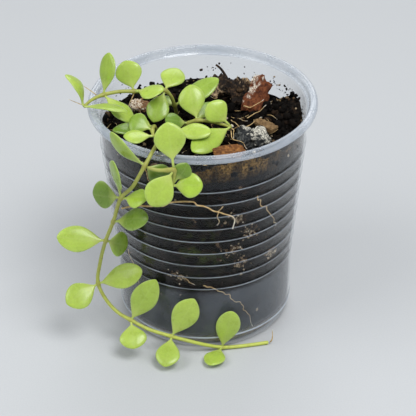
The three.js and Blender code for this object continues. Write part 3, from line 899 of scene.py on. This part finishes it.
leaves = {node: read_leaf(node) for node in LEAF_NODES}
joints = {}
for node, leaf in leaves.items():
    knots = np.array(STEM_ROUTES[node.split("_leaf_")[0]]) * MM
    gaps = np.linalg.norm(knots - leaf["foot"], axis=1)
    leaf["reach_back"] = gaps.min()
    joints.setdefault(node.split("_leaf_")[0], []).append(knots[gaps.argmin()])
leaf_lengths = [leaf["length"] / MM for leaf in leaves.values()]
print("leaf lengths in mm:", round(min(leaf_lengths), 1), "to", round(max(leaf_lengths), 1))

# %% Build the stems
stem_finish, tree, coords = new_material("fleshy_green_stem")
mark = add(tree, "Attribute", attribute_name="along")
skin_colour = add(tree, "ValToRGB", None, {"Fac": (mark, "Fac")}, [
    (0.0, "#A3A852"), (0.35, "#ABB052"), (0.6, "#B4BC58"), (0.85, "#C6D25C"), (1.0, "#CDD862"),
])
blotch = add(tree, "TexNoise", {"Scale": per_metre(2.5), "Detail": 4}, {"Vector": (coords, "Object")})
browner = add(tree, "MapRange", {"From Min": 0.5, "From Max": 0.75, "To Max": 0.45}, {"Value": (blotch, 0)})
joint_mark = add(tree, "Attribute", attribute_name="joint")
joint_brown = add(tree, "Math", {1: 0.4}, {0: (joint_mark, "Fac")}, operation="MULTIPLY")
brown_share = add(tree, "Math", None, {0: (browner, 0), 1: (joint_brown, 0)}, operation="MAXIMUM")
stem_colour = add(tree, "Mix", {7: linear("#8A7A38")}, {0: (brown_share, 0), 6: (skin_colour, 0)},
                  data_type="RGBA")
stem_bump = add(tree, "Bump", {"Strength": 0.5, "Distance": 0.12 * MM}, {"Height": (blotch, 0)})
stem_shader = add(tree, "BsdfPrincipled", {
    "Roughness": 0.45, "Subsurface Weight": 0.12, "Subsurface Radius": (0.8, 1.0, 0.3),
    "Subsurface Scale": 1.0 * MM,
}, {"Base Color": (stem_colour, 2), "Normal": (stem_bump, 0)})
finish_material(stem_finish, tree, stem_shader)

STEM_SIDES = 14
for stem, knots in STEM_ROUTES.items():
    line, run = smooth_route(np.array(knots) * MM, 0.55 * MM)
    near_joint = np.zeros(len(line))
    for joint in joints.get(stem, []):
        near_joint = np.maximum(near_joint, np.exp(-(np.linalg.norm(line - joint, axis=1) / (1.1 * MM)) ** 2))
    taper = 1 - 0.22 * smooth_step(0.75, 1.0, run / run[-1]) if stem != "trailing_stem" else 1 + 0 * run
    radii = STEM_RADIUS * MM * taper * (1 + 0.4 * near_joint) * 0.96
    points, faces = tube(line, radii, STEM_SIDES)
    share = np.append(np.repeat(run / run[-1], STEM_SIDES), [0, 1])
    if stem != "trailing_stem":
        share = share * 0.55
    marks = {"along": share, "joint": np.append(np.repeat(near_joint, STEM_SIDES), [0, 0])}
    new_piece(stem + "_fine", points, faces, stem_finish, marks, [stem])
print("stems built")

# %% [markdown]
# ## Leaves
# A nickel leaf is a thick round coin on a short stalk, domed above, flatter below, with soft edges and a
# small point at its tip. From its foot the outline swells like a sine, and past its widest place it closes
# like a flattened circle, more or less pointed from leaf to leaf. Each cross-section is an ellipse, and a
# hollow down the middle makes the midrib. Every leaf gets its own small twist, waviness and tone, because
# no two leaves on a plant are alike, and leaves that lie in shade get a darker tone as painted shade.

# %% Leaf outline
def blade_outline(share, broadest, fullness):
    """Half width of the blade, as a share of its widest, at a share of its length."""
    base = np.sin(np.pi / 2 * np.clip(share / broadest, 0, 1)) ** 1.08
    tip = (1 - np.clip((share - broadest) / (1 - broadest), 0, 1) ** 1.9) ** fullness
    return np.where(share < broadest, base, tip)


print("outline at each fifth:", blade_outline(np.linspace(0, 1, 6), 0.55, 0.65).round(2).tolist())

# %% Leaf mesh
STALK_RADIUS = 0.5
DOME = {"above": 1.15, "below": 0.5}   # how far the two faces stand out from the blade's middle, in mm
MIDRIB = {"deep": 0.08, "half_width": 0.6}   # the hollow along the upper face, in mm
LEAF_COLUMNS = 32
LEAF_ROWS = 36


def leaf_mesh(leaf, draw):
    """Points, faces and marks of one fleshy leaf."""
    length, half, bow = leaf["length"], leaf["width"] / 2, leaf["bow"]
    shares = np.concatenate([[-leaf["reach_back"] / length, -0.03],
                             0.5 - 0.5 * np.cos(np.linspace(0.2, math.pi - 0.14, LEAF_ROWS))])
    outline = blade_outline(shares, draw.uniform(0.52, 0.59), draw.uniform(0.56, 0.74))
    stalk = STALK_RADIUS * MM * (1 - smooth_step(0.1, 0.4, shares))
    widths = ((half * outline) ** 3 + stalk ** 3) ** (1 / 3)
    swell = outline ** 0.6
    cupping = leaf["width"] * draw.uniform(-0.035, 0.045)
    wave, phase = draw.uniform(0.05, 0.25) * MM, draw.uniform(0, 2 * np.pi)
    twist, sway = math.radians(draw.normal(0, 4)), draw.normal(0, 0.25) * MM
    angles = np.linspace(0, 2 * np.pi, LEAF_COLUMNS, endpoint=False)
    domes = np.where(np.sin(angles) > 0, DOME["above"], DOME["below"]) * MM
    rings, across_marks = [], []
    for share, width, on_blade, stem_half in zip(shares, widths, swell, stalk):
        x = width * np.cos(angles)
        z = ((domes * on_blade) ** 3 + stem_half ** 3) ** (1 / 3) * np.sin(angles)
        u = x / half
        groove = MIDRIB["deep"] * MM * np.exp(-(x / (MIDRIB["half_width"] * MM)) ** 2)
        z = z - groove * on_blade * (np.sin(angles) > 0)
        z = z + cupping * u ** 2 + bow * math.sin(math.pi * np.clip(share, 0, 1))
        z = z + wave * np.sin(2 * np.pi * share * 1.4 + phase + 1.5 * u) * u ** 2 * on_blade
        x = x + sway * math.sin(math.pi * np.clip(share, 0, 1))
        turn_by = twist * np.clip(share, 0, 1)
        x, z = x * math.cos(turn_by) - z * math.sin(turn_by), x * math.sin(turn_by) + z * math.cos(turn_by)
        centre = leaf["foot"] + share * length * leaf["axis"]
        rings.append(centre + np.outer(x, leaf["side"]) + np.outer(z, leaf["up"]))
        across_marks.append(u)
    start = leaf["foot"] - leaf["reach_back"] * leaf["axis"]
    tip = leaf["foot"] + length * leaf["axis"]
    points, faces = skin(rings, start, tip)
    marks = {
        "along": np.append(np.repeat(np.clip(shares, 0, 1), LEAF_COLUMNS), [0, 1]),
        "across": np.append(np.concatenate(across_marks), [0, 0]),
        "under": np.append(np.tile((np.sin(angles) < -0.1) * 1.0, len(shares)), [0, 0]),
        "margin": np.append(np.tile(np.abs(np.cos(angles)) ** 8, len(shares)), [0, 1]),
    }
    return points, faces, marks


print("points on each leaf:", (LEAF_ROWS + 2) * LEAF_COLUMNS + 2)

# %% [markdown]
# ## Leaf skin
# The leaf has a waxy skin over wet green flesh. The wax gives a broad, soft gloss. Light goes a
# millimetre or so into the flesh and comes out greener, which subsurface scattering does. The skin is
# paler at the foot and along the midrib, with very faint side veins. Old leaves are darker and young ones
# are a brighter lime, and leaves that lie in shade are given the darker green too, as painted shade: each
# leaf's tone mark picks between the two.

# %% Leaf green
leaf_finish, tree, coords = new_material("waxy_leaf_skin")
tone = add(tree, "Attribute", attribute_name="tone")
along = add(tree, "Attribute", attribute_name="along")
across = add(tree, "Attribute", attribute_name="across")
under = add(tree, "Attribute", attribute_name="under")
# The dark end of these greens is old leaves and also painted shade on leaves that lie in shade.
age_and_shade_greens = add(tree, "ValToRGB", None, {"Fac": (tone, "Fac")}, [
    (0.0, "#4E7020"), (0.35, "#86A638"), (0.65, "#B0C955"), (1.0, "#A9C845"),
])
cells = add(tree, "TexNoise", {"Scale": per_metre(0.8), "Detail": 4, "Roughness": 0.6},
            {"Vector": (coords, "Object")})
cloud = add(tree, "TexNoise", {"Scale": per_metre(5), "Detail": 2}, {"Vector": (coords, "Object")})
cell_light = add(tree, "MapRange", {"From Min": 0.3, "From Max": 0.7, "To Min": 0.93, "To Max": 1.07},
                 {"Value": (cells, 0)})
cloud_light = add(tree, "MapRange", {"From Min": 0.3, "From Max": 0.7, "To Min": 0.92, "To Max": 1.08},
                  {"Value": (cloud, 0)})
light = add(tree, "Math", None, {0: (cell_light, 0), 1: (cloud_light, 0)}, operation="MULTIPLY")
mottled = add(tree, "Mix", {0: 1.0}, {6: (age_and_shade_greens, 0), 7: (light, 0)}, data_type="RGBA", blend_type="MULTIPLY")
print("nodes for the green:", len(tree.nodes))

# %% Midrib and veins
off_middle = add(tree, "Math", None, {0: (across, "Fac")}, operation="ABSOLUTE")
midrib = add(tree, "MapRange", {"From Min": 0.0, "From Max": 0.1, "To Min": 0.12, "To Max": 0.0},
             {"Value": (off_middle, 0)})
slant = add(tree, "Math", {1: -1.6}, {0: (off_middle, 0)}, operation="MULTIPLY")
vein_phase = add(tree, "Math", {1: 7.5}, {0: (along, "Fac"), 2: (slant, 0)}, operation="MULTIPLY_ADD")
vein_turns = add(tree, "Math", {1: 2 * math.pi}, {0: (vein_phase, 0)}, operation="MULTIPLY")
vein_wave = add(tree, "Math", None, {0: (vein_turns, 0)}, operation="SINE")
veins = add(tree, "MapRange", {"From Min": 0.8, "From Max": 1.0, "To Max": 0.06}, {"Value": (vein_wave, 0)})
line_share = add(tree, "Math", None, {0: (midrib, 0), 1: (veins, 0)}, operation="MAXIMUM")
veined = add(tree, "Mix", {7: linear("#C9D98A")}, {0: (line_share, 0), 6: (mottled, 2)}, data_type="RGBA")
print("nodes with the veins:", len(tree.nodes))

# %% Foot, edge and underside
foot_pale = add(tree, "MapRange", {"From Min": 0.34, "From Max": 0.1, "To Max": 0.6},
                {"Value": (along, "Fac")})
footed = add(tree, "Mix", {7: linear("#C2CE74")}, {0: (foot_pale, 0), 6: (veined, 2)}, data_type="RGBA")
margin = add(tree, "Attribute", attribute_name="margin")
rimmed = add(tree, "Math", {1: 0.35}, {0: (margin, "Fac")}, operation="MULTIPLY")
edged = add(tree, "Mix", {7: linear("#C6D88A")}, {0: (rimmed, 0), 6: (footed, 2)}, data_type="RGBA")
below = add(tree, "Math", {1: 0.25}, {0: (under, "Fac")}, operation="MULTIPLY")
leaf_colour = add(tree, "Mix", {7: linear("#B7CB84")}, {0: (below, 0), 6: (edged, 2)}, data_type="RGBA")
print("nodes with foot, edge and underside:", len(tree.nodes))

# %% Leaf wax and flesh
sheen = add(tree, "MapRange", {"From Min": 0.3, "From Max": 0.7, "To Min": 0.24, "To Max": 0.36},
            {"Value": (cloud, 0)})
leaf_bump = add(tree, "Bump", {"Strength": 0.35, "Distance": 0.06 * MM}, {"Height": (cells, 0)})
leaf_shader = add(tree, "BsdfPrincipled", {
    "IOR": 1.42, "Specular IOR Level": 0.5, "Subsurface Weight": 0.2, "Subsurface Radius": (0.7, 1.0, 0.2),
    "Subsurface Scale": 1.2 * MM, "Coat Weight": 0.2, "Coat Roughness": 0.16,
}, {"Base Color": (leaf_colour, 2), "Roughness": (sheen, 0), "Normal": (leaf_bump, 0)})
finish_material(leaf_finish, tree, leaf_shader)

# %% Grow the leaves
LEAF_TONES = {  # old and dark, or painted shade for a leaf that lies in shade, is 0; young and bright is 1; the rest are drawn near 0.6
    "trailing_stem_leaf_3": 0.12, "trailing_stem_leaf_5": 0.18, "trailing_stem_leaf_4": 0.4,
    "trailing_stem_leaf_6": 1.0, "trailing_stem_leaf_7": 0.28, "trailing_stem_leaf_9": 0.38,
    "trailing_stem_leaf_8": 0.72, "trailing_stem_leaf_10": 0.68, "trailing_stem_leaf_11": 0.7,
    "side_shoot_leaf_3": 1.0, "side_shoot_leaf_4": 0.2, "upper_left_shoot_leaf_8": 0.45,
    "upper_left_shoot_leaf_10": 0.3, "right_shoot_leaf_3": 0.15, "right_shoot_leaf_2": 0.3,
    "right_shoot_leaf_5": 0.85, "crown_shoot_leaf_3": 0.15, "trailing_stem_leaf_17": 0.75,
    "trailing_stem_leaf_2": 0.5, "crown_shoot_leaf_2": 0.35, "upper_left_shoot_leaf_7": 0.62,
}
for number, (node, leaf) in enumerate(leaves.items()):
    draw = np.random.default_rng(100 + number)
    points, faces, marks = leaf_mesh(leaf, draw)
    leaf_tone = LEAF_TONES.get(node, float(np.clip(draw.normal(0.62, 0.07), 0.45, 0.8)))
    marks["tone"] = np.full(len(points), leaf_tone)
    new_piece(node + "_fine", points, faces, leaf_finish, marks, [node])
print("leaves grown:", len(leaves))

# %% [markdown]
# ## Roots
# Aerial roots come from the joints of the stems: thin, dry threads that kink as they grow. Their skin is
# matt and fibrous, streaked from straw to tan. One long root wanders across the front of the cup, another
# stands at the end of the stem. Finer ones lie between the mix and the wall, where they show as pale
# lines, and over the bark on top.

# %% Root finish
# The last fifth of a thread is its growing tip, which is nearly white.
root_finish, tree, coords = new_material("dry_tan_root")
fibre = add(tree, "TexNoise", {"Scale": per_metre(1.6), "Detail": 5, "Roughness": 0.65},
            {"Vector": (coords, "Object")})
bark_colour = add(tree, "ValToRGB", None, {"Fac": (fibre, 0)}, [
    (0.3, "#A07C4C"), (0.5, "#D0B078"), (0.72, "#EBD8AE"),
])
young = add(tree, "Attribute", attribute_name="young")
root_colour = add(tree, "Mix", {7: linear("#F1EADB")}, {0: (young, "Fac"), 6: (bark_colour, 0)},
                  data_type="RGBA")
root_bump = add(tree, "Bump", {"Strength": 0.6, "Distance": 0.1 * MM}, {"Height": (fibre, 0)})
root_shader = add(tree, "BsdfPrincipled", {"Roughness": 0.75, "Specular IOR Level": 0.35},
                  {"Base Color": (root_colour, 2), "Normal": (root_bump, 0)})
finish_material(root_finish, tree, root_shader)


# %% Root helper
def root(knots_mm, thick, thin, seed, kink=0.25, sides=8):
    """A thread that narrows from thick to thin (radii in mm) and wanders by kink mm."""
    draw = np.random.default_rng(seed)
    line, run = smooth_route(np.array(knots_mm) * MM, 0.6 * MM)
    wander = draw.normal(0, 1, (max(2, len(line) // 4), 3))
    at = np.linspace(0, 1, len(wander))
    ease = np.sin(np.pi * run / run[-1])[:, None]
    aside = [np.interp(run / run[-1], at, wander[:, axis]) for axis in range(3)]
    line = line + kink * MM * ease * np.column_stack(aside)
    radii = np.interp(run / run[-1], [0, 1], [thick, thin]) * MM * draw.uniform(0.8, 1.2, len(line))
    points, faces = tube(line, radii, sides)
    young = smooth_step(0.8, 1, run / run[-1])
    return points, faces, {"young": np.append(np.repeat(young, sides), [0, 1])}


print("points on a root of 10 mm:", len(root([(0, 0, 0), (5, 0, 0), (10, 0, 0)], 0.3, 0.1, 0)[0]))

# %% Roots in the air
AIR_ROOTS = {
    "long_aerial_root": ([
        (-33, -42.3, 76), (-27, -42, 77), (-22, -43.5, 77.6), (-15.5, -45.5, 79.3), (-8, -46, 81.8),
        (-4.5, -46, 81.3), (-1.8, -45, 78.5), (4.3, -44, 75), (12, -42.5, 70.5), (11.3, -42.5, 65.5),
    ], 0.38, 0.22),
    "stem_end_root": ([(27.2, -33.6, 1), (28, -33.8, 4), (28.2, -33.6, 7.5)], 0.3, 0.15),
}
for number, (name, (knots, thick, thin)) in enumerate(AIR_ROOTS.items()):
    points, faces, marks = root(knots, thick, thin, 200 + number)
    new_piece(name + "_fine", points, faces, root_finish, marks, [name])

JOINT_ROOTS = [
    [(-48, -8.6, 104), (-51, -7.5, 105), (-54.5, -8.2, 107)],
    [(-43.5, -1.6, 105), (-46, -1, 107.6), (-49.5, -2, 110.1)],
    [(-28, 2, 104), (-29.6, 1, 100.6), (-30.8, 0, 97.7)],
    [(-23, -49, 99.5), (-22.2, -48, 95.5), (-20.7, -47, 90)],
    [(-33, -44, 81), (-30, -45.2, 83), (-26.5, -45, 84)],
    [(11.4, -11.2, 94), (12.6, -15, 95.2), (12.3, -20.5, 94.6)],
]
points, faces, marks = join([root(knots, 0.22, 0.1, 300 + n, 0.3, 6) for n, knots in enumerate(JOINT_ROOTS)])
new_piece("joint_rootlets", points, faces, root_finish, marks)
print("air roots:", len(AIR_ROOTS) + len(JOINT_ROOTS))

# %% Roots against the wall
WALL_ROOTS = [  # bearing in degrees and height in mm along each root
    [(-91, 33.3), (-86, 32.2), (-81.7, 30.3), (-75, 26.9),
     (-69.3, 22.9), (-64.1, 18.7), (-60.1, 14), (-56.6, 7)],
    [(-104, 37.4), (-102, 36.2), (-100, 34.6), (-98, 34)],
    [(-59.6, 75.7), (-54.1, 70.6), (-48.7, 64.8), (-44.5, 60.3), (-40.8, 55.3)],
    [(-80, 75), (-83, 70), (-82, 66)],
    [(20, 60), (34, 52), (40, 40), (52, 34)],
    [(100, 70), (112, 58), (110, 44), (124, 30)],
    [(170, 66), (182, 60), (190, 48)],
    [(-150, 40), (-140, 30), (-142, 18)],
]
wall_threads = []
for number, course in enumerate(WALL_ROOTS):
    draw = np.random.default_rng(420 + number)
    places = np.linspace(0, len(course) - 1, 3 * len(course))
    angles, heights = [np.interp(places, range(len(course)), values) for values in np.array(course).T]
    angles = np.radians(angles + draw.normal(0, 0.6, len(places)))
    heights = heights + draw.normal(0, 0.45, len(places))
    reach = wall_radius(heights) - WALL - 0.1
    knots = np.column_stack([reach * np.cos(angles), reach * np.sin(angles), heights])
    wall_threads.append(root(knots, 0.26, 0.12, 400 + number, 0.05, 6))
points, faces, marks = join(wall_threads)
new_piece("wall_roots", press_to_wall(points), faces, root_finish, marks)
print("roots against the wall:", len(wall_threads))

# %% Roots and fibres on top
TOP_ROOTS = [
    [(18.2, -3.4, 94), (21.2, -1.1, 95), (24.5, 1.2, 95.2), (26.3, 3.6, 96)],
    [(11.6, -4.8, 94), (13.2, -8, 94.2), (15.1, -11.3, 94)],
    [(16.3, -13, 95.4), (20.1, -7.5, 94.6), (24.4, -2.8, 94)],
    [(11.3, -16.9, 96), (12.1, -21.4, 94.4), (14.8, -22.9, 94), (17.6, -25.2, 92.4)],
    [(17, 4, 95.5), (20, 2, 95.6), (23, 3.6, 96.4), (25.4, 6.4, 97)],
    [(-26, 20, 90.5), (-20, 22, 90.2), (-16, 19, 90.6)],
]
FIBRES = 90
draw = np.random.default_rng(51)
top_threads = [root(knots, 0.2, 0.1, 500 + n, 0.6, 6) for n, knots in enumerate(TOP_ROOTS)]
for number in range(FIBRES):
    reach = edge_radius * math.sqrt(draw.uniform(0, 0.93))
    angle, heading = draw.uniform(0, 2 * math.pi, 2)
    size = draw.uniform(3, 8)
    x, y = reach * math.cos(angle), reach * math.sin(angle)
    ends = [(x + size * share * math.cos(heading), y + size * share * math.sin(heading))
            for share in (-0.5, 0, 0.5)]
    if max(math.hypot(x, y) for x, y in ends) > edge_radius - 0.8:
        continue
    knots = [(x, y, mix_height(x * MM, y * MM) / MM + draw.uniform(0.6, 1.9)) for x, y in ends]
    top_threads.append(root(knots, 0.12, 0.07, 600 + number, 0.6, 5))
points, faces, marks = join(top_threads)
new_piece("surface_roots", points, faces, root_finish, marks)

print("threads on top:", len(top_threads))

# %% [markdown]
# A thin black sliver of bark curls up at the back. It is no lump but a line that bends, so it is a tube in
# the finish of the dark bark, without any crust.

# %% Curled sliver
SLIVER_ROUTE = [(11.6, 31, 90.6), (10, 32, 94), (8, 33, 97), (6, 33, 99)]
sliver_line, run = smooth_route(np.array(SLIVER_ROUTE) * MM, 0.5 * MM)
points, faces = tube(sliver_line, np.interp(run / run[-1], [0, 1], [0.75, 0.45]) * MM, 8)
no_crust = {"crust": np.zeros(len(points))}
new_piece("curled_sliver_fine", points, faces, black_bark, no_crust, ["curled_sliver"])
print("sliver points:", len(points))
